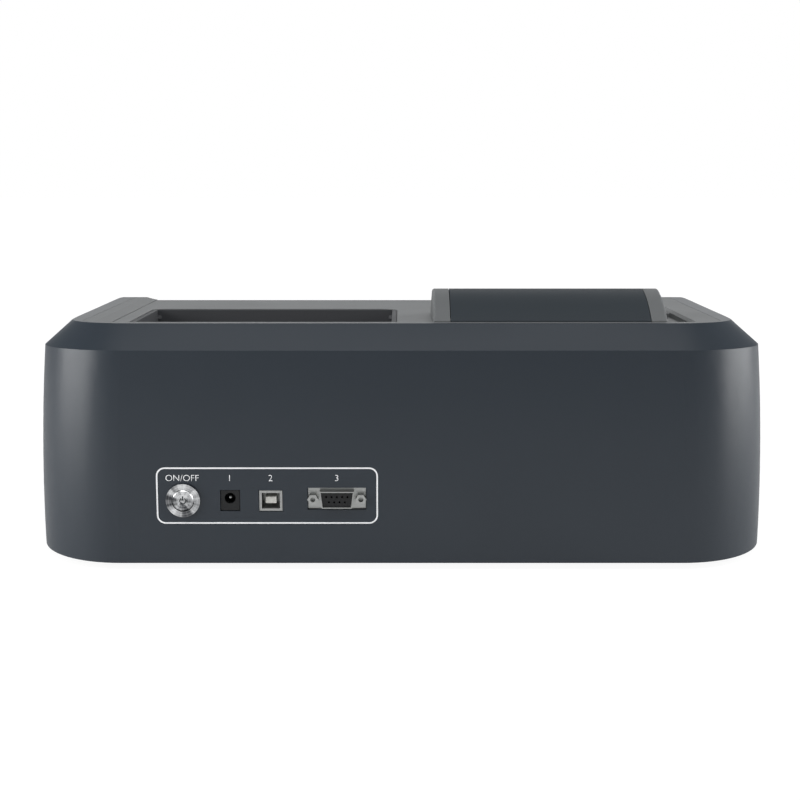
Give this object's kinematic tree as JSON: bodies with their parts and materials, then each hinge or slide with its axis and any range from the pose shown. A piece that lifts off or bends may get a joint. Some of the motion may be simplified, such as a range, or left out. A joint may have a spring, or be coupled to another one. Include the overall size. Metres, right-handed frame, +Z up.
{
  "type": "benchtop spectrophotometer",
  "caption": "Wedge-shaped benchtop spectrophotometer: sloping deck, sunken tilted display, hinged hood lid over a cuvette carousel, rear power button and data ports.",
  "frame": {"origin": "centre of the footprint at the bottom of the feet", "axes": "+X to the right seen from the front, +Y to the rear where the ports are, +Z up"},
  "size_m": [0.3892, 0.297, 0.138],
  "materials": {
    "aluminium": "machined",
    "base_sheet": "powder coat",
    "black_anodised": "black anodised",
    "black_plastic": "matt",
    "board": "solder mask",
    "brass": "machined",
    "bright_metal": "nickel plated",
    "clear_glass": "polished",
    "dark_glass": "polished",
    "dark_shell": "fine grained",
    "filters": "polished",
    "grey_plastic": "matt",
    "lid_shell": "satin",
    "light_panel": "fine grained",
    "mirror": "polished",
    "painted": "bare grey",
    "rubber": "matt",
    "steel": "zinc plated",
    "white_plastic": "matt"
  },
  "bodies": {
    "instrument": {"base_pan": "base_sheet", "base_screws": "steel", "beam_windows": "clear_glass", "bench_posts": "aluminium", "board_components": "black_plastic", "carousel_motor": "steel", "collimating_mirror": "mirror", "compartment_tub": "black_plastic", "condenser_lens": "clear_glass", "connector_board": "board", "dc_jack": "black_plastic", "dc_jack_pin": "bright_metal", "deck_panel": "light_panel", "detector_block": "black_anodised", "detector_board": "board", "display_bezel": "black_plastic", "display_board": "board", "display_glass": "dark_glass", "display_module": "grey_plastic", "entrance_slit": "steel", "exit_slit": "steel", "filter_bracket": "aluminium", "filter_motor": "steel", "focusing_mirror": "mirror", "fold_mirror": "mirror", "grating_motor": "steel", "internal_screws": "steel", "lamp_bulb": "clear_glass", "lamp_house": "painted", "lamp_socket": "white_plastic", "lid_hinge_pins": "steel", "lid_seal": "rubber", "light_tube": "black_anodised", "mainboard": "board", "monochromator_case": "black_anodised", "monochromator_cover": "black_anodised", "optics_plate": "aluminium", "photodiode": "black_plastic", "power_board": "board", "power_button_body": "bright_metal", "power_button_nut": "bright_metal", "rubber_feet": "rubber", "serial_port_insert": "black_plastic", "serial_port_jackscrews": "bright_metal", "serial_port_shell": "bright_metal", "upper_housing": "dark_shell", "usb_port_shell": "bright_metal", "usb_port_tongue": "white_plastic"},
    "lid": {"lid": "lid_shell", "lid_liner": "black_plastic"},
    "power_button": {"power_button_cap": "bright_metal"},
    "carousel": {"carousel_hub": "black_plastic", "carousel_plate": "black_anodised"},
    "grating_arm": {"grating": "mirror", "grating_table": "aluminium", "grating_gear": "brass"},
    "grating_drive": {"grating_pinion": "brass"},
    "filter_drum": {"filter_wheel": "aluminium", "colour_filters": "filters"}
  },
  "joints": [
    {"name": "lid_hinge", "type": "hinge", "parent": "instrument", "child": "lid", "pos_m": [-0.0785, 0.11018, 0.1265], "axis": [-1, 0, 0], "range_deg": [0, 95]},
    {"name": "power_button_push", "type": "slide", "parent": "instrument", "child": "power_button", "axis": [0, -1, 0], "range_m": [0, 0.0022], "stiffness_N_per_m": 1500, "springref_m": -0.001},
    {"name": "carousel_turn", "type": "hinge", "parent": "instrument", "child": "carousel", "pos_m": [-0.0785, 0.066, 0.06], "axis": [0, 0, 1], "continuous": true},
    {"name": "grating_turn", "type": "hinge", "parent": "instrument", "child": "grating_arm", "pos_m": [0.022, 0.02, 0.05], "axis": [0, 0, 1], "range_deg": [-12, 12]},
    {"name": "pinion_turn", "type": "hinge", "parent": "instrument", "child": "grating_drive", "pos_m": [0.04567, -0.03075, 0.03], "axis": [0, 0, 1], "range_deg": [-100.5, 100.5]},
    {"name": "filter_wheel_turn", "type": "hinge", "parent": "instrument", "child": "filter_drum", "pos_m": [0.022, -0.05, 0.077], "axis": [0, 1, 0], "continuous": true}
  ],
  "couplings": [
    {"joint": "pinion_turn", "follows": "grating_turn", "ratio": -8.3333}
  ]
}
